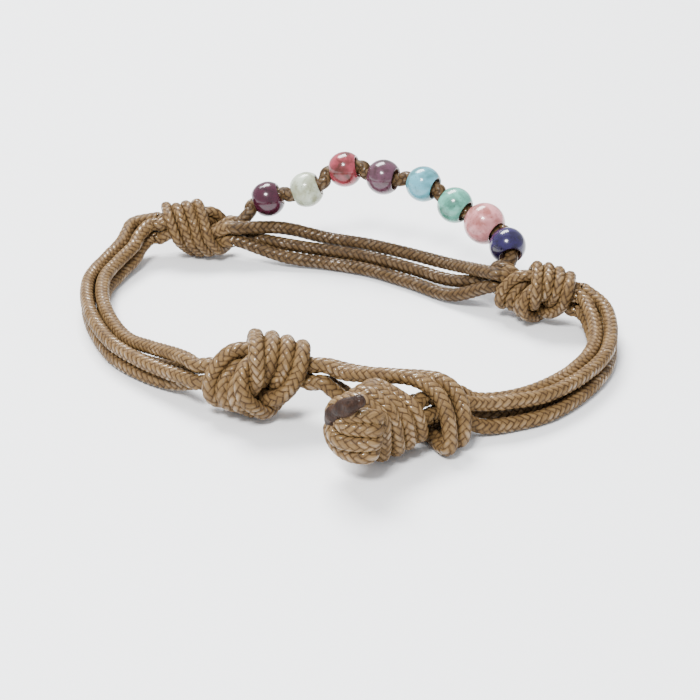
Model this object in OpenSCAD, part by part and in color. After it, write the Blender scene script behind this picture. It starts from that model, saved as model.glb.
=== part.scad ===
// Waxed cord bracelet with eight glazed ceramic beads, lying on a table.
// Frame while building: x to the right, y away from the viewer, z up, table at z = 0, millimetres.

/* [Cord] */
// Thickness of the braided waxed cord
cord_d = 1.8; // [1.5:0.05:1.8]
// Size of the two front knots, loop knot against a loosely dressed one
loop_knot_size = 1; // [0.96:0.01:1]
// Size of the stopper knot
stopper_size = 0.88; // [0.84:0.01:0.88]
// Size of the two back knots, drawn tighter than the front ones
back_knot_size = 0.78; // [0.74:0.01:0.78]
// Clear space left between the end of a cord and the knot that it comes out of
end_gap = 0.1; // [0.08:0.01:0.2]

/* [Beads] */
// Diameter of the seven equal glazed beads
bead_d = 4.8; // [4.2:0.1:4.8]
// Diameter of the larger pink bead
pink_bead_d = 5.5; // [5:0.1:5.6]
// Hole drilled through each bead
bead_bore = 2.7; // [2.5:0.05:2.8]

/* [Hidden] */

khaki = "#b7a480";
shaded_khaki = "#93795d";
burnt_brown = "#5d3f34";

// Sides of a cord's tube, and rings made from each row of a table
cord_sides = 8;
knot_sides = 6;
bend_rings = 2;
// Sides round a bead, round its hole, and round each ball of the melted ends
bead_sides = 48;
bore_sides = 32;
melt_sides = 10;

// Where a strand leaves a knot, in cord diameters: its distance from the axis, and where along the
// axis it turns straight and where it ends
mouth_r = 0.78;
mouth_from = 3.25;
mouth_at = 3.65;
// Straight run of a cord after it leaves a knot
lead = 1.2;
short_lead = 0.6;
middle_lead = 1;

// Centre of the whole outline in the building frame; taking it away puts the part's origin there
home = [-0.98, -0.61, 0];

// The two strands of a four-strand overhand knot; the other two are the same ones turned end for end.
// Columns: along the axis, distance from the axis (both in cord diameters), angle round the axis
outer_strand = [[-mouth_at, mouth_r, 135], [-mouth_from, mouth_r, 135], [-2.6, 0.95, 155], [-1.3, 1.2, 175],
                [0, 1.5, 195], [1.3, 1.75, 215], [2.4, 1.6, 240], [3, 1.6, 280], [3, 1.9, 320], [2.6, 2, 360],
                [2.1, 1.8, 405], [1.6, 1.75, 450], [1.1, 1.75, 500], [0.5, 2.4, 540], [0, 2.7, 572],
                [-0.4, 2.8, 600], [-0.4, 2.4, 632], [0.3, 1.8, 665], [1.5, 1.25, 680], [2.6, 0.95, 685],
                [mouth_from, mouth_r, 675], [mouth_at, mouth_r, 675]];
inner_strand = [[-mouth_at, mouth_r, 45], [-mouth_from, mouth_r, 45], [-2.6, 0.75, 80], [-1.6, 0.8, 105],
                [-0.5, 0.8, 130], [0.5, 0.75, 170], [1.4, 1, 240], [2, 1.6, 285], [2.1, 2.1, 315],
                [1.8, 2.1, 350], [1.3, 2.05, 385], [0.9, 1.8, 415], [0.5, 1.65, 455], [0.05, 1.75, 500],
                [-0.4, 2.2, 530], [-0.9, 2.3, 560], [-1.15, 2.4, 590], [-1.05, 1.85, 615], [-0.4, 1.1, 645],
                [0.6, 0.5, 680], [1.8, 0.25, 660], [2.6, 0.4, 610], [mouth_from, mouth_r, 585],
                [mouth_at, mouth_r, 585]];
// Rings from each row of a knot's table: the loop knot is the one seen closest
loop_knot_rings = 2;
knot_rings = 1;
// Cord thickness inside the hard-drawn back knots, against the loose cord
back_squeeze = 0.93;
function end_for_end(T) = [for (i = [len(T) - 1 : -1 : 0]) [-T[i][0], T[i][1], 540 - T[i][2]]];
strand_tables = [outer_strand, inner_strand, end_for_end(inner_strand), end_for_end(outer_strand)];

// Where each knot lies. Columns: centre, azimuth and elevation of its axis, roll round the axis, size
loop_at = [[-10.1, -15.7, 4.9], -14, 7, 27, loop_knot_size];
stopper_at = [[3.6, -26.8, 5.15], -138, 9, 330, stopper_size];
left_at = [[-21.2, 28.2, 4.1], -6, 0, 180, back_knot_size];
right_at = [[24.2, 8.8, 4.2], -25, -5, 0, back_knot_size];

// Which end of a strand: the one where the knot's axis points, or the far one
first = 0;
last = 1;

// Left side cords, from the loop knot to the back. Columns of the route: x, y
left_route = [[-18.8, -12.7], [-21.1, -10.5], [-24.7, -7.1], [-28.1, -3], [-30.8, 3], [-32.5, 9.2],
              [-33, 15.3], [-31.7, 20.5], [-30.1, 24.2], [-29.4, 26.2], [-28.4, 27.8]];
// Each cord beside the route. Columns: outward from the route, height
left_beside = [[[1.2, 3.4], [1.3, 3.1], [1.2, 2.9], [1.1, 2.8], [1.2, 2.8], [1.2, 2.8], [1.1, 2.8],
                [1, 3], [1, 3.6], [1.1, 4.3], [1.5, 4.9]],
               [[-0.2, 2.05], [0.5, 1.2], [1, 0.98], [1.1, 0.95], [1.1, 0.95], [1.1, 0.95], [1, 0.95],
                [1, 1.1], [1, 1.7], [1.1, 2.3], [1.4, 2.9]],
               [[-1.7, 3.6], [-1.5, 2.5], [-1.1, 1.4], [-0.9, 0.95], [-0.9, 0.95], [-0.9, 0.95],
                [-0.9, 0.95], [-1, 1.05], [-1, 1.6], [-0.9, 2.2], [-0.8, 2.8]],
               [[0.3, 5.4], [-0.2, 4.8], [-0.7, 3.8], [-0.9, 2.95], [-0.8, 2.85], [-0.8, 2.85],
                [-0.9, 2.9], [-1, 3.1], [-1, 3.6], [-0.9, 4.3], [-0.9, 4.9]]];

// Right side cords, from the back knot to the front. Columns of the route: x, y
right_route = [[30.8, 3.9], [31.1, -1.4], [29.6, -7.2], [26.2, -12.7], [22, -16.9], [17.8, -19.2],
               [14.5, -20.2]];
// Each cord beside the route. Columns: outward from the route, height
right_beside = [[[1.2, 3.9], [0.95, 3.1], [0.95, 3], [0.95, 3.1], [0.95, 3.2], [0.85, 3.6], [0.5, 3.7]],
                [[1.2, 1.8], [1, 0.95], [1.1, 0.95], [1.3, 0.95], [1.6, 0.95], [1.4, 0.95], [1.5, 1.3]],
                [[-1, 4.2], [-0.9, 3.1], [-0.9, 2.9], [-0.9, 2.9], [-1, 2.95], [-1.1, 3], [-1.2, 3.4]],
                [[-1, 2.2], [-0.9, 1.05], [-0.9, 0.95], [-1, 0.95], [-1.1, 0.95], [-1.6, 1],
                 [-2.7, 1.4]]];
// Where each right side cord goes through the closure loop, over the loop's lower arms. Columns: x, y, z
right_neck = [[12.2, -21.7, 4.6], [12.3, -22.2, 2.8], [11.7, -19.7, 4.8], [11.9, -19.3, 2.85]];

// The two bights of the closure loop: over the right side cords, down past them, back underneath.
// Columns: x, y, z
outer_bight = [[0.2, -17.3, 6.1], [4, -19.4, 6.6], [7.6, -21, 7.3], [10.3, -22, 7.3], [12.1, -23.1, 6],
               [12.7, -24.5, 3.8], [12.5, -25, 1.6], [11.6, -23.6, 0.95], [9.9, -20.7, 0.95],
               [6.2, -18.1, 0.95], [3.1, -17.6, 1.15], [0.6, -17.3, 2.4], [-0.6, -17.2, 3.3],
               [-1.7, -17.2, 4]];
inner_bight = [[-0.3, -18.9, 6.6], [3.6, -21.1, 7.6], [7, -22.8, 8.05], [9.4, -23.9, 7.1],
               [10.5, -25.2, 5.6], [11, -26.4, 3.7], [11, -26.9, 1.6], [10.2, -25.4, 0.95],
               [8.8, -22.5, 0.95], [5.8, -20.3, 0.95], [3.1, -19.7, 1.15], [0.6, -19.4, 2.4],
               [-0.6, -19.2, 3.4], [-1.9, -19.1, 4.5]];

// The three loose cords at the back. Columns: x, y, z
band_top = [[-9.2, 28.15, 4.4], [-3, 27.3, 3.25], [2.6, 25.35, 3.15], [8.2, 21.9, 3.25], [13.3, 17.3, 3.85]];
band_low = [[-9, 25, 1.55], [-3.2, 24.05, 1], [2.6, 21.75, 1], [8.2, 17.7, 1], [13.2, 13.3, 1.3]];
band_middle = [[-9, 26.5, 2.75], [-3.1, 25.7, 2.1], [2.6, 23.55, 2.05], [8.2, 19.8, 2.1],
               [13.4, 15.3, 2.45]];

// Bead centres in an arch that leans back. Columns: x, y, z
bead_at = [[-11.2, 30, 7.9], [-5.9, 29.5, 9.5], [-0.7, 29.9, 12.3], [4.5, 27.8, 12], [9.8, 25.3, 12],
           [13.9, 22.3, 10.2], [17.7, 19.6, 8.7], [20.5, 15.6, 7.3]];
bead_colours = ["#64303c", "#c4cabf", "#a5686b", "#856a6d", "#8fb3b7", "#95b6ac", "#cfacac", "#453647"];
pink_bead = 6;
// The bead cord's bend before the first bead and after the last one
bead_cord_rise = [-13.6, 29.4, 6.4];
bead_cord_fall = [18.8, 12.9, 5.3];
bead_line = concat([bead_cord_rise], bead_at, [bead_cord_fall]);
// Half of the straight run of the cord inside each bead
bead_run = 2.3;
function bead_axis(i) = unit(bead_line[i + 2] - bead_line[i]);

function unit(v) = v / norm(v);
function xyz(xy, z) = [xy[0], xy[1], z];

// A smooth line through the points of a table, n steps from each point to the next
function between(a, b, c, d, t) =
    0.5 * (2 * b + (c - a) * t + (2 * a - 5 * b + 4 * c - d) * t * t + (3 * b - a - 3 * c + d) * t * t * t);
function smooth(P, n) =
    let (e = len(P) - 1, Q = concat([2 * P[0] - P[1]], P, [2 * P[e] - P[e - 1]]))
    concat([for (i = [1 : e], k = [0 : n - 1]) between(Q[i - 1], Q[i], Q[i + 1], Q[i + 2], k / n)], [P[e]]);

function tangent(P, i) = unit(P[min(i + 1, len(P) - 1)] - P[max(i - 1, 0)]);
function upright(t) = unit(cross(t, abs(t[2]) < 0.8 ? [0, 0, 1] : [1, 0, 0]));
// One normal for each point, carried along the line without twisting
function normals(P) = [for (i = 0, n = upright(tangent(P, 0)); i < len(P);
    i = i + 1, n = i < len(P) ? let (t = tangent(P, i)) unit(n - (n * t) * t) : n) n];

// A round cord along a line of points, one closed polyhedron
module cord(P, sides, d = cord_d) {
    N = normals(P);
    rings = [for (i = [0 : len(P) - 1], k = [0 : sides - 1])
        let (t = tangent(P, i), a = (k + 0.5) * 360 / sides)
        P[i] + d / 2 * (cos(a) * N[i] + sin(a) * cross(t, N[i]))];
    skin = [for (i = [0 : len(P) - 2], k = [0 : sides - 1])
        let (a = i * sides + k, b = i * sides + (k + 1) % sides) [a, a + sides, b + sides, b]];
    caps = [[for (k = [0 : sides - 1]) k], [for (k = [sides - 1 : -1 : 0]) (len(P) - 1) * sides + k]];
    polyhedron(points = rings, faces = concat(skin, caps), convexity = 10);
}

function axis(K) = [cos(K[1]) * cos(K[2]), sin(K[1]) * cos(K[2]), sin(K[2])];
function side(K) = unit(cross(axis(K), [0, 0, 1]));
// A point given in a knot's own cylinder: along and out in cord diameters, angle round the axis
function in_knot(K, q) =
    let (s = K[4] * cord_d, turn = K[3] + 270 - q[2], r = abs(q[0]) < mouth_from ? q[1] : q[1] / K[4])
    K[0] - s * q[0] * axis(K) + s * r * (cos(turn) * side(K) + sin(turn) * cross(side(K), axis(K)));
function strand(K, i) = [for (q = strand_tables[i]) in_knot(K, q)];
function strand_end(K, i, e) = let (P = strand(K, i)) e == first ? P[0] : P[len(P) - 1];
function way_out(K, e) = e == first ? axis(K) : -axis(K);

// A four-strand overhand knot, its strands fused into one mesh (a resize of 0 keeps each size)
module knot(K, n, squeeze = 1) {
    resize([0, 0, 0]) for (i = [0 : 3]) cord(smooth(strand(K, i), n), knot_sides, squeeze * cord_d);
}

// A cord from a strand's end on one knot, through given points, to a strand's end on another
module link(K0, i0, e0, through, K1, i1, e1, leave = lead, arrive = lead, n = 1) {
    a = strand_end(K0, i0, e0);
    b = strand_end(K1, i1, e1);
    u = way_out(K0, e0);
    v = way_out(K1, e1);
    start = n == 1 ? [a + end_gap * u, a + leave * u] : [for (d = [end_gap, leave / 2, leave]) a + d * u];
    finish = n == 1 ? [b + arrive * v, b + end_gap * v] :
             [for (d = [arrive, arrive / 2, end_gap]) b + d * v];
    cord(smooth(concat(start, through, finish), n), cord_sides);
}

// Points beside a route that runs along x and y
function beside(R, B) = [for (i = [0 : len(R) - 1])
    let (t = unit(R[min(i + 1, len(R) - 1)] - R[max(i - 1, 0)]))
    xyz(R[i] + B[i][0] * [-t[1], t[0]], B[i][1])];

module left_cord(i, from, to) {
    link(loop_at, from, last, beside(left_route, left_beside[i]), left_at, to, last, lead, short_lead);
}
module right_cord(i, from, to) {
    link(right_at, from, first, concat(beside(right_route, right_beside[i]), [right_neck[i]]),
         stopper_at, to, last, short_lead, lead);
}

module loop_knot() translate(-home) color(khaki) knot(loop_at, loop_knot_rings);
module closure_loop_outer() translate(-home) color(khaki)
    link(loop_at, 0, first, outer_bight, loop_at, 1, first, lead, middle_lead, bend_rings);
module closure_loop_inner() translate(-home) color(khaki)
    link(loop_at, 3, first, inner_bight, loop_at, 2, first, lead, middle_lead, bend_rings);
module stopper_knot() translate(-home) color(khaki) knot(stopper_at, knot_rings);

// The four cut ends, melted together and turned up against the knot.
// Columns: along the stopper's axis, to its side, up, radius; all in mm from the knot's centre
stub = [[7.1, -0.6, -1, 1.2], [7, 0.5, -0.6, 1.1], [7, -1.5, -0.3, 1.1], [7, 0.9, 0.6, 1.1],
        [7, 1.2, 1.4, 0.9], [7.2, -0.8, 2.7, 1.2], [7.1, -1.9, 3.7, 1.05], [6.8, -2.6, 4.5, 0.85]];
module cut_ends() translate(-home) color(burnt_brown) {
    s = side(stopper_at);
    a = axis(stopper_at);
    hull() for (q = stub)
        translate(stopper_at[0] + q[0] * a + q[1] * s + q[2] * cross(s, a))
        sphere(r = q[3], $fn = melt_sides);
}

module left_cord_1() translate(-home) color(khaki) left_cord(0, 0, 0);
module left_cord_2() translate(-home) color(khaki) left_cord(1, 3, 1);
module left_cord_3() translate(-home) color(khaki) left_cord(2, 2, 2);
module left_cord_4() translate(-home) color(khaki) left_cord(3, 1, 3);
module right_cord_1() translate(-home) color(khaki) right_cord(0, 0, 2);
module right_cord_2() translate(-home) color(khaki) right_cord(1, 1, 3);
module right_cord_3() translate(-home) color(khaki) right_cord(2, 3, 1);
module right_cord_4() translate(-home) color(khaki) right_cord(3, 2, 0);

module left_back_knot() translate(-home) color(khaki) knot(left_at, knot_rings, back_squeeze);
module right_back_knot() translate(-home) color(khaki) knot(right_at, knot_rings, back_squeeze);

module band_cord_1() translate(-home) color(shaded_khaki)
    link(left_at, 1, first, band_top, right_at, 1, last);
module band_cord_2() translate(-home) color(shaded_khaki)
    link(left_at, 3, first, band_middle, right_at, 3, last);
module band_cord_3() translate(-home) color(shaded_khaki)
    link(left_at, 0, first, band_low, right_at, 0, last);

module bead_cord() translate(-home) color(shaded_khaki)
    link(left_at, 2, first, bead_path, right_at, 2, last, middle_lead, short_lead);

bead_path = concat([bead_cord_rise],
    [for (i = [0 : len(bead_at) - 1], k = [-1, 1]) bead_at[i] + k * bead_run * bead_axis(i)],
    [bead_cord_fall]);

// A round bead drilled for the cord, its hole along the cord's direction there
module bead(i, d) {
    t = bead_axis(i);
    translate(bead_at[i] - home) color(bead_colours[i])
    rotate([0, acos(t[2]), atan2(t[1], t[0])]) difference() {
        sphere(d = d, $fn = bead_sides);
        cylinder(h = 2 * d, d = bead_bore, center = true, $fn = bore_sides);
    }
}
module bead_1() bead(0, bead_d);
module bead_2() bead(1, bead_d);
module bead_3() bead(2, bead_d);
module bead_4() bead(3, bead_d);
module bead_5() bead(4, bead_d);
module bead_6() bead(5, bead_d);
module bead_7() bead(pink_bead, pink_bead_d);
module bead_8() bead(7, bead_d);

loop_knot();
closure_loop_outer();
closure_loop_inner();
stopper_knot();
cut_ends();
left_cord_1();
left_cord_2();
left_cord_3();
left_cord_4();
right_cord_1();
right_cord_2();
right_cord_3();
right_cord_4();
left_back_knot();
right_back_knot();
band_cord_1();
band_cord_2();
band_cord_3();
bead_cord();
bead_1();
bead_2();
bead_3();
bead_4();
bead_5();
bead_6();
bead_7();
bead_8();
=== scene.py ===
# Waxed cord bracelet with eight glazed ceramic beads, lying closed on a pale table.
# Lengths are in millimetres while a piece is made, and in metres once it is placed.
import math
import bpy
import numpy as np
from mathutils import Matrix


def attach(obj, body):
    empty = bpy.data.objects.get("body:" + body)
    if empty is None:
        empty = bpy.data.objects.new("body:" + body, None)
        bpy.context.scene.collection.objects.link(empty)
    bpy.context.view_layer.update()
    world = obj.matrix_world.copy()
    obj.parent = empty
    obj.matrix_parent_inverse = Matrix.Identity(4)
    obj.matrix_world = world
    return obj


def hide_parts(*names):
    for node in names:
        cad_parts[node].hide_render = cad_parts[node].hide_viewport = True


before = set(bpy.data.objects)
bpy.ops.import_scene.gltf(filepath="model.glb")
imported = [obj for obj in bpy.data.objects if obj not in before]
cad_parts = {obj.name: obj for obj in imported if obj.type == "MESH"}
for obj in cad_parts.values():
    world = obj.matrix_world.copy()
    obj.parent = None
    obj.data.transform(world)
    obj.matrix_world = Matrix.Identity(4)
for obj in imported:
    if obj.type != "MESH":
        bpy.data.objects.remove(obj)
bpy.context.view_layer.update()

# Loop knot, front left. Four strands of braided cotton cord tied together in one overhand knot and
# pulled hard. The cord is twelve yarns plaited round and soaked in wax, so its picks shine on their
# crowns; the crowns are also painted lighter as painted light, and the grooves between them darker as
# painted shade.
MM = 0.001
# Centre of the outline on the table, where the frame has its origin
HOME = np.array([-0.98, -0.61, 0.0])
CORD = 1.8
# This many yarns wind each way, and two of them cross once in each pick's length of cord
YARNS = 6
PICK = 0.88
# The plait looks the same again when it is turned by this
SAME_AGAIN = 4 * math.pi / YARNS
FIRST = 0
LAST = -1
# The strands draw together to a knot's two mouths, in cord thicknesses along it and out from its axis
NECK_FROM = 2.4
MOUTH_FROM = 3.25
MOUTH_AT = 3.65
MOUTH_R = 0.78

# Columns: along the knot, distance from its axis, both in cord thicknesses, and angle round it
OUTER_STRAND = [
    (-MOUTH_AT, MOUTH_R, 135), (-MOUTH_FROM, MOUTH_R, 135), (-2.6, 0.95, 155), (-1.3, 1.2, 175),
    (0, 1.5, 195), (1.3, 1.75, 215), (2.4, 1.6, 240), (3, 1.6, 280), (3, 1.9, 320), (2.6, 2, 360),
    (2.1, 1.8, 405), (1.6, 1.75, 450), (1.1, 1.75, 500), (0.5, 2.4, 540), (0, 2.7, 572),
    (-0.4, 2.8, 600), (-0.4, 2.4, 632), (0.3, 1.8, 665), (1.5, 1.25, 680), (2.6, 0.95, 685),
    (MOUTH_FROM, MOUTH_R, 675), (MOUTH_AT, MOUTH_R, 675)]
INNER_STRAND = [
    (-MOUTH_AT, MOUTH_R, 45), (-MOUTH_FROM, MOUTH_R, 45), (-2.6, 0.75, 80), (-1.6, 0.8, 105),
    (-0.5, 0.8, 130), (0.5, 0.75, 170), (1.4, 1, 240), (2, 1.6, 285), (2.1, 2.1, 315), (1.8, 2.1, 350),
    (1.3, 2.05, 385), (0.9, 1.8, 415), (0.5, 1.65, 455), (0.05, 1.75, 500), (-0.4, 2.2, 530),
    (-0.9, 2.3, 560), (-1.15, 2.4, 590), (-1.05, 1.85, 615), (-0.4, 1.1, 645), (0.6, 0.5, 680),
    (1.8, 0.25, 660), (2.6, 0.4, 610), (MOUTH_FROM, MOUTH_R, 585), (MOUTH_AT, MOUTH_R, 585)]
# Length of the short stretches that a strand is drawn tight in, in cord thicknesses
STRETCH = 0.3


def unit(v):
    return np.asarray(v, float) / np.linalg.norm(v)


def smooth(points, n=10):
    """A smooth line through points, n steps between two."""
    p = np.asarray(points, float)
    q = np.vstack([2 * p[0] - p[1], p, 2 * p[-1] - p[-2]])
    a, b, c, d = q[:-3, None], q[1:-2, None], q[2:-1, None], q[3:, None]
    t = np.linspace(0, 1, n, endpoint=False)[None, :, None]
    line = 2 * b + (c - a) * t + (2 * a - 5 * b + 4 * c - d) * t**2 + (3 * b - a - 3 * c + d) * t**3
    line *= 0.5
    return np.vstack([line.reshape(-1, 3), p[-1]])


def evenly(line, step):
    """The same line with its points an even step apart."""
    run = np.concatenate([[0], np.cumsum(np.linalg.norm(np.diff(line, axis=0), axis=1))])
    s = np.linspace(0, run[-1], max(4, int(round(run[-1] / step)) + 1))
    return np.stack([np.interp(s, run, line[:, k]) for k in range(3)], 1)


def end_for_end(rows):
    """The same strand table turned end for end, for the strand on the knot's other side."""
    return [(-x, r, 540 - a) for x, r, a in rows[::-1]]


def in_cylinder(rows):
    """Points from rows of distance along, distance out and angle round."""
    return np.array([(x, r * math.cos(math.radians(a)), r * math.sin(math.radians(a))) for x, r, a in rows])


def drawn_tight(strands, steps=220, thick=0.99, pull=0.02, ease=0.12, push=0.25, presses=4, held=3):
    """Pulls loosely laid strands tight, one cord thickness apart where they press on each other.

    In each step a strand shortens towards the share pull and straightens by the share ease, and is
    then pushed off its neighbours a few times. The held points at its two ends stay where they are.
    """
    sizes = [len(s) for s in strands]
    starts = np.cumsum([0] + sizes)
    x = np.vstack(strands)
    which = np.repeat(range(len(strands)), sizes)
    place = np.concatenate([np.arange(n) for n in sizes])
    free = (place >= held) & (place < np.repeat(sizes, sizes) - held)
    a = np.flatnonzero(np.diff(which) == 0)
    rest = np.linalg.norm(x[a + 1] - x[a], axis=1)
    middle = a[np.isin(a - 1, a)]
    i, j = np.triu_indices(len(x), 1)
    # Points nearer than this along one strand don't press on each other
    own_bend = math.ceil(1.6 * thick / rest.mean())
    apart = (which[i] != which[j]) | (j - i >= own_bend)
    i, j = i[apart], j[apart]
    for step in range(steps):
        want = rest * (1 - pull * min(1, 2 * step / steps))
        d = x[a + 1] - x[a]
        n = np.linalg.norm(d, axis=1)
        c = 0.5 * ((n - want) / n)[:, None] * d
        m = np.zeros_like(x)
        m[a] += c
        m[a + 1] -= c
        x[free] += m[free]
        # Each point moves towards the middle of the two beside it
        m = np.zeros_like(x)
        m[middle] = ease * (0.5 * (x[middle - 1] + x[middle + 1]) - x[middle])
        x[free] += m[free]
        # The pairs that may come to touch are listed anew now and then
        if step % 8 == 0:
            near = np.linalg.norm(x[i] - x[j], axis=1) < 1.5 * thick
            ni, nj = i[near], j[near]
        for _ in range(presses):
            v = x[nj] - x[ni]
            n = np.linalg.norm(v, axis=1) + 1e-9
            hit = n < thick
            hi, hj = ni[hit], nj[hit]
            c = push * ((thick - n[hit]) / n[hit])[:, None] * v[hit]
            m = np.stack([np.bincount(hj, c[:, k], len(x)) - np.bincount(hi, c[:, k], len(x))
                          for k in range(3)], 1)
            count = np.bincount(hi, minlength=len(x)) + np.bincount(hj, minlength=len(x))
            x[free] += (m / np.maximum(1, 0.5 * count)[:, None])[free]
    return [x[starts[k]:starts[k + 1]] for k in range(len(strands))]


STRANDS = drawn_tight([evenly(smooth(in_cylinder(rows)), STRETCH) for rows in (
    OUTER_STRAND, INNER_STRAND, end_for_end(INNER_STRAND), end_for_end(OUTER_STRAND))])


class Knot:
    """One four-strand knot where it lies: centre in mm, heading, tilt and roll in degrees, size, and
    which of its strands are plaited from their last point to their first."""

    def __init__(self, centre, heading, tilt, roll, size, turned):
        h, e, r = (math.radians(v) for v in (heading, tilt, roll + 270))
        self.centre = np.array(centre, float)
        self.size = size
        self.turned = turned
        self.axis = np.array([math.cos(h) * math.cos(e), math.sin(h) * math.cos(e), math.sin(e)])
        self.side = unit(np.cross(self.axis, [0, 0, 1]))
        self.up = np.cross(self.side, self.axis)
        self.out = math.cos(r) * self.side + math.sin(r) * self.up
        self.over = math.sin(r) * self.side - math.cos(r) * self.up

    def strand(self, i):
        q = STRANDS[i]
        wide = np.interp(abs(q[:, :1]), [NECK_FROM, MOUTH_FROM], [1, 1 / self.size])
        across = q[:, 1:2] * self.out + q[:, 2:] * self.over
        return self.centre + self.size * CORD * (wide * across - q[:, :1] * self.axis)

    def mouth(self, i, end):
        """Where a strand comes out of the knot, and in which direction."""
        return self.strand(i)[end], self.axis if end == FIRST else -self.axis


LOOP_KNOT = Knot((-10.1, -15.7, 4.9), heading=-14, tilt=7, roll=27, size=1.0, turned=(0, 3))


def carried(line, start, finish):
    """Directions and normals along a line, turned as little as makes the plait match at both ends."""
    t = np.gradient(line, axis=0)
    t /= np.linalg.norm(t, axis=1)[:, None]
    n = np.empty_like(line)
    n[0] = unit(start - (start @ t[0]) * t[0])
    for k in range(1, len(line)):
        n[k] = unit(n[k - 1] - (n[k - 1] @ t[k]) * t[k])
    b = np.cross(t, n)
    off = math.atan2(finish @ b[-1], finish @ n[-1])
    off -= round(off / SAME_AGAIN) * SAME_AGAIN
    turn = np.linspace(0, off, len(line))[:, None]
    return t, np.cos(turn) * n + np.sin(turn) * b


# Distance between the points of a cord's line
LINE_STEP = 0.12
# The grooves lie at this share of the cord's radius, and the crowns rise by this share above them
GROOVE_AT = 0.9
CROWN_RISE = 0.11
# The loosest and the tightest pick, as shares of that rise
PICKS_VARY = (0.65, 1.12)
# Quads along a side of a yarn's crossing: on the front pieces, the runs of cord and the back knots
FINE_FRONT = 5
FINE_RUN = 4
FINE_BACK = 3


def braid(line, start, finish, fine, thick=CORD, ends=True, waist=None):
    """Points, quads, yarn coordinates and crown heights of a cord plaited two over two along a line.

    Each yarn's crossing is a patch of fine by fine quads. Without ends the first and last half
    crossings are left to the piece that the cord comes out of. A waist is two rows of shares: places
    along the cord and its thickness there.
    """
    line = evenly(line, LINE_STEP)
    t, n = carried(line, start, finish)
    run = np.concatenate([[0], np.cumsum(np.linalg.norm(np.diff(line, axis=0), axis=1))])
    picks = max(2, int(round(run[-1] / PICK)))
    rows = range(0, 2 * picks + 1) if ends else range(1, 2 * picks)
    k, q = np.array([(k, k % 2 + 2 * r) for k in rows for r in range(YARNS)]).T
    i, j = (q + k) // 2, (q - k) // 2
    grid = np.arange(fine + 1)
    fa, fb = (g.ravel() for g in np.meshgrid(grid, grid, indexing="ij"))
    a = i[:, None] * fine + fa
    b = j[:, None] * fine + fb
    leans_left = (q % 4 < 2)[:, None]
    across = np.where(leans_left, fa, fb) / fine
    along = np.where(leans_left, b, a) / fine
    within = (np.where(leans_left, fb, fa) / fine + (q % 2)[:, None]) / 2
    # A yarn is round across, and blunter at the ends where it dives under the next ones
    round_across = np.clip(1 - abs(2 * across - 1)**2, 0, 1)**0.5
    blunt_ends = np.clip(1 - abs(2 * within - 1)**2.6, 0, 1)**0.4
    # No two picks are drawn equally tight; the ones that two pieces share are left alike
    starts_at = k + np.where(q % 4 < 2, 1, -1) * (q % 2)
    tight = np.random.default_rng(picks).uniform(*PICKS_VARY, (2 * picks + 3, YARNS))[starts_at + 1, q // 2]
    inside = (starts_at > 1) & (starts_at < 2 * picks - 1)
    crown = round_across * blunt_ends * np.where(inside, tight, 1)[:, None]
    # Corners that crossings share become one point, by their place along the cord and round it
    turn = 2 * YARNS * fine
    keys = (a - b + 4 * turn) * turn + (a + b) % turn
    keys, pick_first, index = np.unique(keys.ravel(), return_index=True, return_inverse=True)
    index = index.reshape(a.shape)
    af, bf, hf = (v.ravel()[pick_first] for v in (a, b, crown))
    angle = math.pi * (af + bf) / (YARNS * fine)
    s = (af - bf) / (2 * fine) / picks * run[-1]
    sc = np.clip(s, 0, run[-1])
    p, tt, nn = (np.stack([np.interp(sc, run, v[:, c]) for c in range(3)], 1) for v in (line, t, n))
    p = p + (s - sc)[:, None] * tt
    nn /= np.linalg.norm(nn, axis=1)[:, None]
    bb = np.cross(tt, nn)
    r = 0.5 * thick * (GROOVE_AT + CROWN_RISE * hf)
    if waist is not None:
        r = r * np.interp(sc / run[-1], *waist)
    points = p + r[:, None] * (np.cos(angle)[:, None] * nn + np.sin(angle)[:, None] * bb)
    w = fine + 1
    corner = np.array([g * w + h for g in range(fine) for h in range(fine)])
    quad = np.stack([corner, corner + w, corner + w + 1, corner + 1], 1)
    quads = index[:, quad].reshape(-1, 4)
    # Each yarn reads a part of the noise of its own
    own_part = 3.7 * i + 1.9 * j
    yarn = np.stack([across[:, quad] + own_part[:, None, None], along[:, quad]], -1)
    return points, quads, yarn.reshape(-1, 2), hf


def piece(name, cords, node, material):
    """One object from one or more braided cords in the given material, put in place of a CAD node, which it
    hides.
    """
    points, quads, yarn, crown, start = [], [], [], [], 0
    for p, q, y, h in cords:
        points.append(p)
        quads.append(q + start)
        yarn.append(y)
        crown.append(h)
        start += len(p)
    mesh = bpy.data.meshes.new(name)
    mesh.from_pydata(((np.vstack(points) - HOME) * MM).tolist(), [], np.vstack(quads).tolist())
    mesh.uv_layers.new(name="yarn").data.foreach_set("uv", np.vstack(yarn).astype(np.float32).ravel())
    heights = np.concatenate(crown).astype(np.float32)
    mesh.attributes.new("crown", "FLOAT", "POINT").data.foreach_set("value", heights)
    mesh.polygons.foreach_set("use_smooth", [True] * len(mesh.polygons))
    mesh.materials.append(material)
    obj = bpy.data.objects.new(name, mesh)
    bpy.context.collection.objects.link(obj)
    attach(obj, "root")
    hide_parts(node)


def linear(hexcode):
    """An sRGB hex colour as linear red, green, blue and alpha."""
    c = [int(hexcode[k:k + 2], 16) / 255 for k in (1, 3, 5)]
    return tuple(v / 12.92 if v <= 0.04045 else ((v + 0.055) / 1.055)**2.4 for v in c) + (1.0,)


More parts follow.
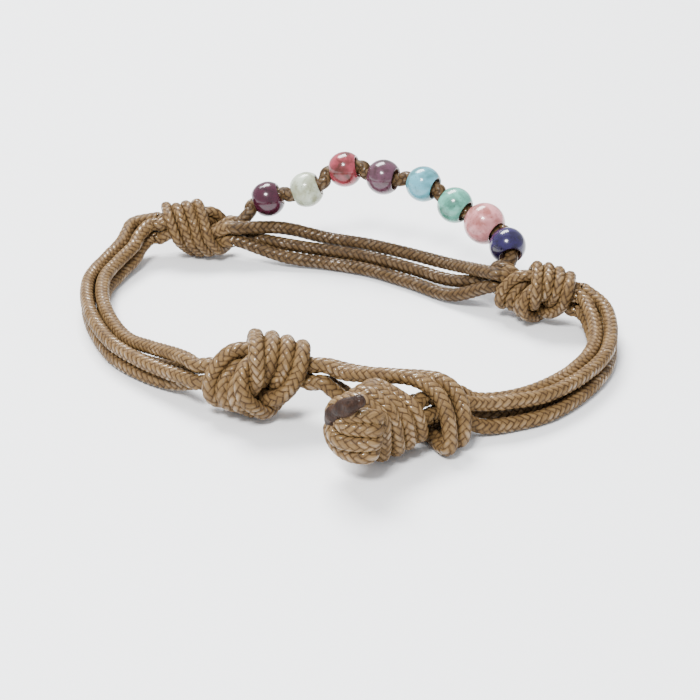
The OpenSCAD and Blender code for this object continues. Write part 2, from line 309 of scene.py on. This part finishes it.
def add(tree, kind, inputs=None, stops=(), **settings):
    """Adds one node: inputs are values or sockets by name or number, stops are a colour ramp's, and
    settings are the node's own."""
    node = tree.nodes.new(kind)
    for key, value in settings.items():
        setattr(node, key, value)
    for key, value in (inputs or {}).items():
        socket = node.inputs[key]
        if isinstance(value, bpy.types.NodeSocket):
            tree.links.new(value, socket)
        else:
            socket.default_value = value
    for k, (at, colour) in enumerate(stops):
        e = node.color_ramp.elements[k] if k < 2 else node.color_ramp.elements.new(at)
        e.position = at
        e.color = colour
    return node


def shader(name, finish):
    """A new material; finish holds the values that are the same all over it."""
    material = bpy.data.materials.new(name)
    material.use_nodes = True
    tree = material.node_tree
    tree.nodes.clear()
    surface = add(tree, "ShaderNodeBsdfPrincipled", finish)
    add(tree, "ShaderNodeOutputMaterial", {"Surface": surface.outputs[0]})
    return material, tree, surface


def waxed_cord(name, lit, body, shaded_groove):
    """Braided cotton cord, waxed: matt yarn under a thin coat that glints on each pick."""
    material, tree, surface = shader(name, {
        "Roughness": 0.5, "Specular IOR Level": 0.12, "Coat Roughness": 0.08})
    uv = add(tree, "ShaderNodeUVMap", uv_map="yarn").outputs[0]
    where = add(tree, "ShaderNodeTexCoord").outputs["Object"]
    crown = add(tree, "ShaderNodeAttribute", attribute_name="crown").outputs["Fac"]
    # Yarn filaments are some 0.02 mm thick; drawn as bundles about 0.2 mm apart, the finest that shows
    bundles = add(tree, "ShaderNodeMapping", {0: uv, "Scale": (4.2, 0.6, 1.0)}).outputs[0]
    fibre = add(tree, "ShaderNodeTexNoise", {
        "Vector": bundles, "Scale": 1.0, "Detail": 3.0, "Roughness": 0.6}).outputs["Fac"]
    # Each pick took the dye a little differently
    dye = add(tree, "ShaderNodeMapping", {0: uv, "Scale": (0.9, 0.3, 1.0)}).outputs[0]
    dyed = add(tree, "ShaderNodeTexNoise", {"Vector": dye, "Scale": 1.0, "Detail": 1.0}).outputs["Fac"]
    # Dye and wax vary over some 2.4 mm of cord
    patch = add(tree, "ShaderNodeTexNoise", {
        "Vector": where, "Scale": 1 / (2.38 * MM), "Detail": 2.0}).outputs["Fac"]
    # Painted shade in the grooves and painted light on the crowns, a little lighter or darker with the
    # fibres and the dye
    light = add(tree, "ShaderNodeMath", {0: fibre, 1: 0.5}, operation="SUBTRACT").outputs[0]
    light = add(tree, "ShaderNodeMath", {0: light, 1: 1.8, 2: crown}, operation="MULTIPLY_ADD").outputs[0]
    light = add(tree, "ShaderNodeMath", {0: dyed, 1: 0.8, 2: light}, operation="MULTIPLY_ADD").outputs[0]
    light = add(tree, "ShaderNodeMath", {0: light, 1: 0.4}, operation="SUBTRACT").outputs[0]
    tone = add(tree, "ShaderNodeValToRGB", {0: light}, stops=[
        (0.0, linear(shaded_groove)), (0.36, linear(body)), (1.0, linear(lit))]).outputs[0]
    worn = add(tree, "ShaderNodeValToRGB", {0: patch}, stops=[
        (0.3, (0.78, 0.76, 0.74, 1)), (0.7, (1.08, 1.07, 1.05, 1))]).outputs[0]
    mixed = add(tree, "ShaderNodeMix", {0: 1.0, 6: tone, 7: worn}, data_type="RGBA", blend_type="MULTIPLY")
    tree.links.new(mixed.outputs[2], surface.inputs["Base Color"])
    bump = add(tree, "ShaderNodeBump", {"Height": fibre, "Strength": 0.8, "Distance": 0.08 * MM})
    tree.links.new(bump.outputs[0], surface.inputs["Normal"])
    # Wax sits on the crowns in thicker and thinner patches
    wax = add(tree, "ShaderNodeMath", {0: crown, 1: patch}, operation="MULTIPLY").outputs[0]
    wax = add(tree, "ShaderNodeMapRange", {0: wax, 1: 0.3, 2: 0.56}).outputs[0]
    tree.links.new(wax, surface.inputs["Coat Weight"])
    return material


# Its colours: crowns with painted light, the cord's body, and grooves with painted shade
TAN_CORD = waxed_cord("tan_waxed_braid", "#79603d", "#614b30", "#3d2c1a")


def knot_strands(knot, fine, thick):
    """The four plaited strands of a knot, pressed to thick cord thicknesses between its two mouths."""
    waist = ([0, 0.03, 0.09, 0.91, 0.97, 1], [1 / thick, 1 / thick, 1, 1, 1 / thick, 1 / thick])
    lines = [smooth(knot.strand(i), 3)[::-1 if i in knot.turned else 1] for i in range(4)]
    return [braid(line, knot.side, knot.side, fine, thick * CORD, waist=waist) for line in lines]


LOOP_THICK = 1.05
piece("loop_knot_strands", knot_strands(LOOP_KNOT, FINE_FRONT, LOOP_THICK), "loop_knot",
      TAN_CORD)

# Closure loop. The cords of the loop knot come out on its right, run over the table together, turn
# down round the neck of the stopper knot and come back underneath it into the same knot.

# A cord runs straight out of a knot for one of these lengths
LEAD = 1.2
SHORT_LEAD = 0.6
MIDDLE_LEAD = 1.0
OUTER_BIGHT = [(0.2, -17.3, 6.1), (4, -19.4, 6.6), (7.6, -21, 7.3), (10.3, -22, 7.3), (12.1, -23.1, 6),
               (12.7, -24.5, 3.8), (12.5, -25, 1.6), (11.6, -23.6, 0.95), (9.9, -20.7, 0.95),
               (6.2, -18.1, 0.95), (3.1, -17.6, 1.15), (0.6, -17.3, 2.4), (-0.6, -17.2, 3.3),
               (-1.7, -17.2, 4)]
INNER_BIGHT = [(-0.3, -18.9, 6.6), (3.6, -21.1, 7.6), (7, -22.8, 8.05), (9.4, -23.9, 7.1),
               (10.5, -25.2, 5.6), (11, -26.4, 3.7), (11, -26.9, 1.6), (10.2, -25.4, 0.95),
               (8.8, -22.5, 0.95), (5.8, -20.3, 0.95), (3.1, -19.7, 1.15), (0.6, -19.4, 2.4),
               (-0.6, -19.2, 3.4), (-1.9, -19.1, 4.5)]


def linking(name, node, fine, material, knot, i, end, through, to_knot, to_i, to_end,
            leave=LEAD, arrive=LEAD):
    """A cord from a strand of one knot to a strand of another, plaited on in the strands' direction."""
    a, u = knot.mouth(i, end)
    b, v = to_knot.mouth(to_i, to_end)
    line = smooth(np.vstack([[a, a + leave * u], through, [b + arrive * v, b]]))
    sides = [knot.side, to_knot.side]
    if (i in knot.turned) != (end == FIRST):
        line = line[::-1]
        sides = sides[::-1]
    piece(name, [braid(line, *sides, fine, ends=False)], node, material)


linking("closure_bight_outer", "closure_loop_outer", FINE_FRONT, TAN_CORD,
        LOOP_KNOT, 0, FIRST, OUTER_BIGHT, LOOP_KNOT, 1, FIRST, LEAD, MIDDLE_LEAD)
linking("closure_bight_inner", "closure_loop_inner", FINE_FRONT, TAN_CORD,
        LOOP_KNOT, 3, FIRST, INNER_BIGHT, LOOP_KNOT, 2, FIRST, LEAD, MIDDLE_LEAD)

# Stopper knot, front centre: the same knot tied a little harder in the four cords from the right,
# so that it holds in the closure loop.
STOPPER = Knot((3.6, -26.8, 5.15), heading=-138, tilt=9, roll=330, size=0.88, turned=(0, 1))
STOPPER_THICK = 0.96
piece("stopper_knot_strands", knot_strands(STOPPER, FINE_FRONT, STOPPER_THICK), "stopper_knot",
      TAN_CORD)

# Left side cords: four cords side by side from the loop knot round to the left back knot, two of
# them on the table and two lying on those.
LEFT_KNOT = Knot((-21.2, 28.2, 4.1), heading=-6, tilt=0, roll=180, size=0.78, turned=(2, 3))
RIGHT_KNOT = Knot((24.2, 8.8, 4.2), heading=-25, tilt=-5, roll=0, size=0.78, turned=(2, 3))
LEFT_ROUTE = [(-18.8, -12.7), (-21.1, -10.5), (-24.7, -7.1), (-28.1, -3), (-30.8, 3), (-32.5, 9.2),
              (-33, 15.3), (-31.7, 20.5), (-30.1, 24.2), (-29.4, 26.2), (-28.4, 27.8)]
# Columns: outward from the route, height
LEFT_BESIDE = [
    [(1.2, 3.4), (1.3, 3.1), (1.2, 2.9), (1.1, 2.8), (1.2, 2.8), (1.2, 2.8), (1.1, 2.8), (1, 3), (1, 3.6),
     (1.1, 4.3), (1.5, 4.9)],
    [(-0.2, 2.05), (0.5, 1.2), (1, 0.98), (1.1, 0.95), (1.1, 0.95), (1.1, 0.95), (1, 0.95), (1, 1.1),
     (1, 1.7), (1.1, 2.3), (1.4, 2.9)],
    [(-1.7, 3.6), (-1.5, 2.5), (-1.1, 1.4), (-0.9, 0.95), (-0.9, 0.95), (-0.9, 0.95), (-0.9, 0.95),
     (-1, 1.05), (-1, 1.6), (-0.9, 2.2), (-0.8, 2.8)],
    [(0.3, 5.4), (-0.2, 4.8), (-0.7, 3.8), (-0.9, 2.95), (-0.8, 2.85), (-0.8, 2.85), (-0.9, 2.9), (-1, 3.1),
     (-1, 3.6), (-0.9, 4.3), (-0.9, 4.9)]]
# Columns: strand of the loop knot, strand of the left back knot
LEFT_STRANDS = [(0, 0), (3, 1), (2, 2), (1, 3)]


def beside(route, rows):
    """Points beside a route on the table, at their own heights."""
    r = np.array(route, float)
    t = np.vstack([r[1] - r[0], r[2:] - r[:-2], r[-1] - r[-2]])
    t /= np.linalg.norm(t, axis=1)[:, None]
    out, high = np.array(rows, float).T
    return np.column_stack([r[:, 0] - out * t[:, 1], r[:, 1] + out * t[:, 0], high])


for k, (at_loop, at_back) in enumerate(LEFT_STRANDS):
    linking(f"left_side_cord_{k + 1}", f"left_cord_{k + 1}", FINE_RUN, TAN_CORD,
            LOOP_KNOT, at_loop, LAST, beside(LEFT_ROUTE, LEFT_BESIDE[k]),
            LEFT_KNOT, at_back, LAST, LEAD, SHORT_LEAD)

# Right side cords: four cords from the right back knot round to the front, through the closure loop
# over its lower arms, and into the stopper knot. They are the same cords as the band's and the beads'.
RIGHT_ROUTE = [(30.8, 3.9), (31.1, -1.4), (29.6, -7.2), (26.2, -12.7), (22, -16.9), (17.8, -19.2),
               (14.5, -20.2)]
RIGHT_BESIDE = [
    [(1.2, 3.9), (0.95, 3.1), (0.95, 3), (0.95, 3.1), (0.95, 3.2), (0.85, 3.6), (0.5, 3.7)],
    [(1.2, 1.8), (1, 0.95), (1.1, 0.95), (1.3, 0.95), (1.6, 0.95), (1.4, 0.95), (1.5, 1.3)],
    [(-1, 4.2), (-0.9, 3.1), (-0.9, 2.9), (-0.9, 2.9), (-1, 2.95), (-1.1, 3), (-1.2, 3.4)],
    [(-1, 2.2), (-0.9, 1.05), (-0.9, 0.95), (-1, 0.95), (-1.1, 0.95), (-1.6, 1), (-2.7, 1.4)]]
# Each cord's point inside the closure loop
RIGHT_NECK = [(12.2, -21.7, 4.6), (12.3, -22.2, 2.8), (11.7, -19.7, 4.8), (11.9, -19.3, 2.85)]
# Columns: strand of the right back knot, strand of the stopper knot
RIGHT_STRANDS = [(0, 2), (1, 3), (3, 1), (2, 0)]
for k, (at_back, at_stopper) in enumerate(RIGHT_STRANDS):
    through = np.vstack([beside(RIGHT_ROUTE, RIGHT_BESIDE[k]), RIGHT_NECK[k]])
    linking(f"right_side_cord_{k + 1}", f"right_cord_{k + 1}", FINE_RUN, TAN_CORD,
            RIGHT_KNOT, at_back, FIRST, through, STOPPER, at_stopper, LAST, SHORT_LEAD, LEAD)

# Back knots: the same four-strand knot in the same cords, drawn down harder, so that its strands are
# pressed thinner. They keep the band and the bead cord at their lengths.
BACK_THICK = 0.84
for name, node, knot in (("left_back_knot_strands", "left_back_knot", LEFT_KNOT),
                         ("right_back_knot_strands", "right_back_knot", RIGHT_KNOT)):
    piece(name, knot_strands(knot, FINE_BACK, BACK_THICK), node, TAN_CORD)

# Band: three of the four cords run loose from one back knot to the other and lie against each other.
# Their cord colour is painted darker and browner than the rest of the cord, as painted shade.
SHADED_CORD = waxed_cord("shade_darkened_waxed_braid", "#5b472c", "#493723", "#2c2013")
BAND_TOP = [(-9.2, 28.15, 4.4), (-3, 27.3, 3.25), (2.6, 25.35, 3.15), (8.2, 21.9, 3.25),
            (13.3, 17.3, 3.85)]
BAND_MIDDLE = [(-9, 26.5, 2.75), (-3.1, 25.7, 2.1), (2.6, 23.55, 2.05), (8.2, 19.8, 2.1),
               (13.4, 15.3, 2.45)]
BAND_LOW = [(-9, 25, 1.55), (-3.2, 24.05, 1), (2.6, 21.75, 1), (8.2, 17.7, 1), (13.2, 13.3, 1.3)]
# A band cord joins the same strand of both knots
for k, (strand, through) in enumerate([(1, BAND_TOP), (3, BAND_MIDDLE), (0, BAND_LOW)]):
    linking(f"band_{k + 1}", f"band_cord_{k + 1}", FINE_RUN, SHADED_CORD,
            LEFT_KNOT, strand, FIRST, through, RIGHT_KNOT, strand, LAST)

# Bead cord: the fourth cord of the back, longer than the band, so that it stands up and back in an
# arch with the beads threaded on it.

# Columns: x, y, z of the beads' middles
BEAD_AT = np.array([(-11.2, 30, 7.9), (-5.9, 29.5, 9.5), (-0.7, 29.9, 12.3), (4.5, 27.8, 12),
                    (9.8, 25.3, 12), (13.9, 22.3, 10.2), (17.7, 19.6, 8.7), (20.5, 15.6, 7.3)])
BEAD_CORD_RISE = (-13.6, 29.4, 6.4)
BEAD_CORD_FALL = (18.8, 12.9, 5.3)
# Half the straight run of the cord through a bead
BEAD_RUN = 2.3
ends = np.vstack([BEAD_CORD_RISE, BEAD_AT, BEAD_CORD_FALL])
BEAD_AXES = [unit(ends[k + 2] - ends[k]) for k in range(len(BEAD_AT))]
threaded = [BEAD_CORD_RISE]
for at, axis in zip(BEAD_AT, BEAD_AXES):
    threaded += [at - BEAD_RUN * axis, at + BEAD_RUN * axis]
threaded.append(BEAD_CORD_FALL)
# The bead cord is painted in the same shade-darkened cord colour as the band, as painted shade
linking("threaded_cord", "bead_cord", FINE_RUN, SHADED_CORD,
        LEFT_KNOT, 2, FIRST, threaded, RIGHT_KNOT, 2, LAST, MIDDLE_LEAD, SHORT_LEAD)

# Beads: rolled by hand from clay, pierced, dipped in coloured glaze and fired. The glaze is thick
# and glassy, mottled where it ran, and draws back from the rims of the hole.
BEAD = 4.8
# The pink bead is larger, and is this one in the row, counted from 0
PINK_BEAD = 5.5
PINK = 6
# Width of the hole, and radius of its rounded rim
BORE = 2.7
LIP = 0.22
# A bead is out of round by about this share, and has these points round it, down it and over a lip
UNEVEN = 0.006
AROUND = 64
DOWN = 40
OVER_LIP = 6
# Columns: glaze, its colour where it is thin and where it pooled
GLAZES = [("plum_glaze", "#3a1022", "#1f0a12"), ("celadon_white_glaze", "#b0b9a6", "#8a8d73"),
          ("raspberry_glaze", "#8a3640", "#4b1f1a"), ("mauve_glaze", "#533341", "#342023"),
          ("sky_blue_glaze", "#5b9cab", "#417479"), ("teal_glaze", "#5ca18f", "#3f7262"),
          ("rose_pink_glaze", "#c08082", "#925551"), ("indigo_glaze", "#201644", "#130c26")]


def glaze(name, thin, deep):
    """Coloured glaze on fired clay: one glassy coat over a mottled body colour."""
    material, tree, surface = shader(name, {
        "Roughness": 0.22, "IOR": 1.52, "Specular IOR Level": 0.25,
        "Coat Weight": 0.55, "Coat Roughness": 0.05})
    where = add(tree, "ShaderNodeTexCoord").outputs["Object"]
    rim = add(tree, "ShaderNodeAttribute", attribute_name="rim").outputs["Fac"]
    # Mottling about 1.5 mm across, as the glaze ran, and specks of 0.2 mm
    run = add(tree, "ShaderNodeTexNoise", {
        "Vector": where, "Scale": 1 / (1.54 * MM), "Detail": 3.0, "Distortion": 0.6}).outputs["Fac"]
    speck = add(tree, "ShaderNodeTexNoise", {
        "Vector": where, "Scale": 1 / (0.238 * MM), "Detail": 1.0}).outputs["Fac"]
    body = add(tree, "ShaderNodeValToRGB", {0: run}, stops=[
        (0.34, linear(deep)), (0.58, linear(thin))]).outputs[0]
    specks = add(tree, "ShaderNodeValToRGB", {0: speck}, stops=[
        (0.66, linear("#ffffff")), (0.72, linear("#cec8c4"))]).outputs[0]
    specked = add(tree, "ShaderNodeMix", {0: 1.0, 6: body, 7: specks}, data_type="RGBA",
                  blend_type="MULTIPLY").outputs[2]
    # Bare clay shows on the rims of the hole
    clay = linear("#6b4a38")
    colour = add(tree, "ShaderNodeMix", {0: rim, 6: specked, 7: clay}, data_type="RGBA").outputs[2]
    tree.links.new(colour, surface.inputs["Base Color"])
    bump = add(tree, "ShaderNodeBump", {"Height": run, "Strength": 0.25, "Distance": 0.1 * MM})
    tree.links.new(bump.outputs[0], surface.inputs["Normal"])
    return material


rng = np.random.default_rng(8)
for k, (at, axis) in enumerate(zip(BEAD_AT, BEAD_AXES)):
    radius = (PINK_BEAD if k == PINK else BEAD) / 2
    bore = BORE / 2
    reach = math.asin((bore + LIP) / radius)
    end_x = radius * math.cos(reach)
    # A bead's section, in rows of radius, place along the bore and how bare of glaze it is
    outside = [(radius * math.sin(a), radius * math.cos(a), 0.0)
               for a in np.linspace(reach, math.pi - reach, DOWN)]
    lip = [(bore + LIP - LIP * math.sin(a), end_x - LIP + LIP * math.cos(a), math.sin(a))
           for a in np.linspace(0.2, math.pi / 2, OVER_LIP)]
    wall = [(bore, (LIP - end_x) * f, 1.0) for f in (0.6, 0.2, -0.2, -0.6)]
    profile = outside + [(r, -x, bare) for r, x, bare in lip] + wall + lip[::-1]
    side = unit(np.cross(axis, [0, 0, 1]))
    up = np.cross(side, axis)
    uneven = rng.normal(0, UNEVEN, 3)
    verts = []
    rims = []
    for r, x, bare in profile:
        for g in range(AROUND):
            a = 2 * math.pi * g / AROUND
            swell = uneven[0] * math.cos(2 * a) + uneven[1] * math.sin(3 * a) + uneven[2] * x / radius
            out = min(r * (1 + (1 - bare) * swell), radius)
            verts.append(at + x * axis + out * (math.cos(a) * side + math.sin(a) * up))
            rims.append(0.8 * bare)
    n = len(profile)
    faces = [(p * AROUND + g, (p + 1) % n * AROUND + g, (p + 1) % n * AROUND + (g + 1) % AROUND,
              p * AROUND + (g + 1) % AROUND) for p in range(n) for g in range(AROUND)]
    name = GLAZES[k][0].replace("_glaze", "_bead")
    mesh = bpy.data.meshes.new(name)
    mesh.from_pydata(((np.array(verts) - HOME) * MM).tolist(), [], faces)
    mesh.attributes.new("rim", "FLOAT", "POINT").data.foreach_set("value", rims)
    mesh.polygons.foreach_set("use_smooth", [True] * len(mesh.polygons))
    mesh.materials.append(glaze(*GLAZES[k]))
    obj = bpy.data.objects.new(name, mesh)
    bpy.context.collection.objects.link(obj)
    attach(obj, "root")
    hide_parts(f"bead_{k + 1}")

# Cut ends: the four cords come out of the stopper knot, turn across it and up, and are cut short and
# melted together with a flame, which leaves a hard, dark, shiny lump.

# Columns: along the knot's axis, to its side, up; in mm from its centre. The lump's last one is radius
TURNED_UP = [
    [(3.2, -2.2, -1.4), (4.4, -3.2, -2), (5.4, -2.6, -2.3), (6, -0.8, -2.4), (6.1, 0.9, -1.8),
     (6.1, 1.7, -0.7), (6.4, 1.3, 0.7)],
    [(3.2, -2.4, -0.5), (4.5, -3.4, -0.6), (6, -2.4, -0.8), (6.8, -1, -0.9), (6.9, 0.3, -0.5),
     (6.8, 0.9, 0.9)],
    [(3.2, -2.4, 0.6), (4.5, -3.3, 0.9), (5.9, -2.2, 0.9), (6.6, -1, 0.8), (6.9, 0.5, 1.7)],
    [(3, -2.2, 1.6), (4.2, -3, 2.2), (5.5, -2.3, 2.4), (6.4, -1.2, 2.1), (6.9, 0, 2.3)]]
TURNED_WAIST = ([0, 0.12, 0.86, 1], [0.6, 1, 1, 0.5])
BURNT = [(6.3, 1.5, 0.7, 0.85), (6.8, 0.9, 0.8, 0.85), (6.7, 1, 1.4, 1.05), (6.9, 0.4, 1.9, 1.1),
         (7, -0.3, 2.5, 1), (7.1, -0.9, 2.9, 1.05), (7, -1.5, 3.5, 1), (6.9, -2.1, 3.9, 0.95),
         (6.7, -2.7, 4.4, 0.8)]
# The first of these only stick to the lump and keep the cord's colour
UNBURNT = 2
LUMP_MIDDLE = np.array([6.6, -0.4, 2.2])
# Points round the lump and down it
LUMP_AROUND = 120
LUMP_DOWN = 80
frame_of_knot = np.stack([STOPPER.axis, STOPPER.side, STOPPER.up])
turned = [braid(STOPPER.centre + smooth(rows) @ frame_of_knot, STOPPER.axis, STOPPER.axis, FINE_FRONT,
                waist=TURNED_WAIST) for rows in TURNED_UP]
piece("turned_up_ends", turned, "cut_ends", TAN_CORD)
# Directions from the lump's middle, all round it
theta, phi = np.meshgrid(2 * math.pi * np.arange(LUMP_AROUND) / LUMP_AROUND,
                         math.pi * (np.arange(LUMP_DOWN) + 0.5) / LUMP_DOWN)
ray = np.stack([np.sin(phi) * np.cos(theta), np.sin(phi) * np.sin(theta), np.cos(phi)], -1).reshape(-1, 3)
ends_at = np.array([e[:3] for e in BURNT])
ends_r = np.array([e[3] for e in BURNT])


def melt(p, flow=5, ripple=0.04, shrink=0.12):
    """How deep points lie in the lump: balls of molten cord that flow a little into each other."""
    gap = np.linalg.norm(p[:, None] - ends_at[None], axis=2) - ends_r
    waves = np.sin(p @ [2.1, 1.3, -1.7]) + np.sin(p @ [-1.9, 2.3, 1.1]) + np.sin(p @ [3.1, -2.1, 2.6])
    return np.log(np.exp(-flow * gap).sum(1)) / flow + ripple * waves - shrink


# The surface is found along rays from the middle, from well outside it inwards in short steps
WELL_OUTSIDE = 5.2
STEPS_IN = 150
LONGEST = 0.3
reach = np.full(len(ray), WELL_OUTSIDE)
for _ in range(STEPS_IN):
    reach += 0.7 * np.clip(melt(LUMP_MIDDLE + reach[:, None] * ray), -LONGEST, LONGEST)
lump = LUMP_MIDDLE + reach[:, None] * ray
lump = np.vstack([lump, lump[:LUMP_AROUND].mean(0), lump[-LUMP_AROUND:].mean(0)])
# Each point round the lump and the next one
following = [(g, (g + 1) % LUMP_AROUND) for g in range(LUMP_AROUND)]
last_row = len(ray) - LUMP_AROUND
faces = [(r + g, r + LUMP_AROUND + g, r + LUMP_AROUND + h, r + h)
         for r in range(0, last_row, LUMP_AROUND) for g, h in following]
faces += [(len(ray), g, h) for g, h in following]
faces += [(len(ray) + 1, last_row + h, last_row + g) for g, h in following]
mesh = bpy.data.meshes.new("melted_ends")
mesh.from_pydata(((STOPPER.centre + lump @ frame_of_knot - HOME) * MM).tolist(), [], faces)
# The cord's colour comes back over half a cord's thickness beyond the burnt balls
beyond = (np.linalg.norm(lump[:, None] - ends_at[None, UNBURNT:], axis=2) - ends_r[UNBURNT:]).min(1)
unburnt = np.clip(beyond / (CORD / 2), 0, 1).astype(np.float32)
mesh.attributes.new("unburnt", "FLOAT", "POINT").data.foreach_set("value", unburnt)
mesh.polygons.foreach_set("use_smooth", [True] * len(mesh.polygons))
melted = bpy.data.objects.new("melted_ends", mesh)
bpy.context.collection.objects.link(melted)
# Burnt cotton and wax: a dark, faintly shiny crust that goes back to the cord's brown at its edge
MELTED, tree, surface = shader("melted_cord_end", {
    "Roughness": 0.5, "Specular IOR Level": 0.1, "Coat Weight": 0.1, "Coat Roughness": 0.15})
where = add(tree, "ShaderNodeTexCoord").outputs["Object"]
# Crumbs of char about 0.7 mm across, with finer ones on them
char = add(tree, "ShaderNodeTexNoise", {
    "Vector": where, "Scale": 1 / (0.667 * MM), "Detail": 5.0, "Roughness": 0.7}).outputs["Fac"]
black = add(tree, "ShaderNodeValToRGB", {0: char}, stops=[
    (0.3, linear("#170c07")), (0.55, linear("#2b1a11")), (0.8, linear("#4c3321"))]).outputs[0]
waxed = add(tree, "ShaderNodeValToRGB", {0: char}, stops=[
    (0.3, linear("#443020")), (0.5, linear("#664c30")), (0.72, linear("#84683f"))]).outputs[0]
kept = add(tree, "ShaderNodeAttribute", attribute_name="unburnt").outputs["Fac"]
singed = add(tree, "ShaderNodeMath", {0: char, 1: 0.5, 2: kept}, operation="MULTIPLY_ADD").outputs[0]
share = add(tree, "ShaderNodeMapRange", {0: singed, 1: 0.6, 2: 1.3}).outputs[0]
crust = add(tree, "ShaderNodeMix", {0: share, 6: black, 7: waxed}, data_type="RGBA").outputs[2]
tree.links.new(crust, surface.inputs["Base Color"])
bump = add(tree, "ShaderNodeBump", {"Height": char, "Strength": 0.8, "Distance": 0.3 * MM})
tree.links.new(bump.outputs[0], surface.inputs["Normal"])
mesh.materials.append(MELTED)
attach(melted, "root")
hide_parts("cut_ends")

# Table: a smooth, nearly white matt surface that only takes soft shadows. It is much wider than the
# picture.

# Metres from its middle to each edge
TABLE_REACH = 0.9
mesh = bpy.data.meshes.new("table_top")
mesh.from_pydata([(-TABLE_REACH, -TABLE_REACH, 0), (TABLE_REACH, -TABLE_REACH, 0),
                  (TABLE_REACH, TABLE_REACH, 0), (-TABLE_REACH, TABLE_REACH, 0)], [], [(0, 1, 2, 3)])
TABLE = shader("matt_white_table", {"Base Color": linear("#f8f9fa"), "Roughness": 0.6})[0]
mesh.materials.append(TABLE)
table = bpy.data.objects.new("table_top", mesh)
bpy.context.collection.objects.link(table)

# Light: one large soft window above and behind the bracelet, a small weaker one above and in front of
# it that makes the wax glint, and an even pale surround.
world = bpy.data.worlds.new("pale_surround")
bpy.context.scene.world = world
world.use_nodes = True
world.node_tree.nodes["Background"].inputs["Color"].default_value = linear("#eef2f8")
world.node_tree.nodes["Background"].inputs["Strength"].default_value = 1.1


def window(name, at, size, power):
    """A soft rectangular light that faces the bracelet; at and size in metres, power in watts."""
    lamp = bpy.data.lights.new(name, "AREA")
    lamp.shape = "RECTANGLE"
    lamp.size, lamp.size_y = size
    lamp.energy = power
    obj = bpy.data.objects.new(name, lamp)
    bpy.context.collection.objects.link(obj)
    obj.location = at
    x, y, z = at
    obj.rotation_euler = (math.atan2(math.hypot(x, y), z), 0, math.atan2(x, -y))


window("window_behind", (-0.12, 0.34, 0.5), (0.35, 0.22), 9.5)
window("window_front", (-0.12, -0.32, 0.46), (0.15, 0.12), 5.0)

# Camera: the photograph's view, from in front and 27 degrees above the table.
TILT = math.radians(27)
# Metres from the middle of the outline
DISTANCE = 0.23
# Focal length and width of the picture, in the photo's pixels
FOCAL_PIXELS = 1850
PICTURE_PIXELS = 700
lens = bpy.data.cameras.new("camera")
lens.sensor_width = 36
lens.lens = lens.sensor_width * FOCAL_PIXELS / PICTURE_PIXELS
lens.clip_end = 10
camera = bpy.data.objects.new("camera", lens)
bpy.context.collection.objects.link(camera)
camera.location = -HOME * MM + DISTANCE * np.array([0, -math.cos(TILT), math.sin(TILT)])
camera.rotation_euler = (math.pi / 2 - TILT, 0, 0)
bpy.context.scene.camera = camera
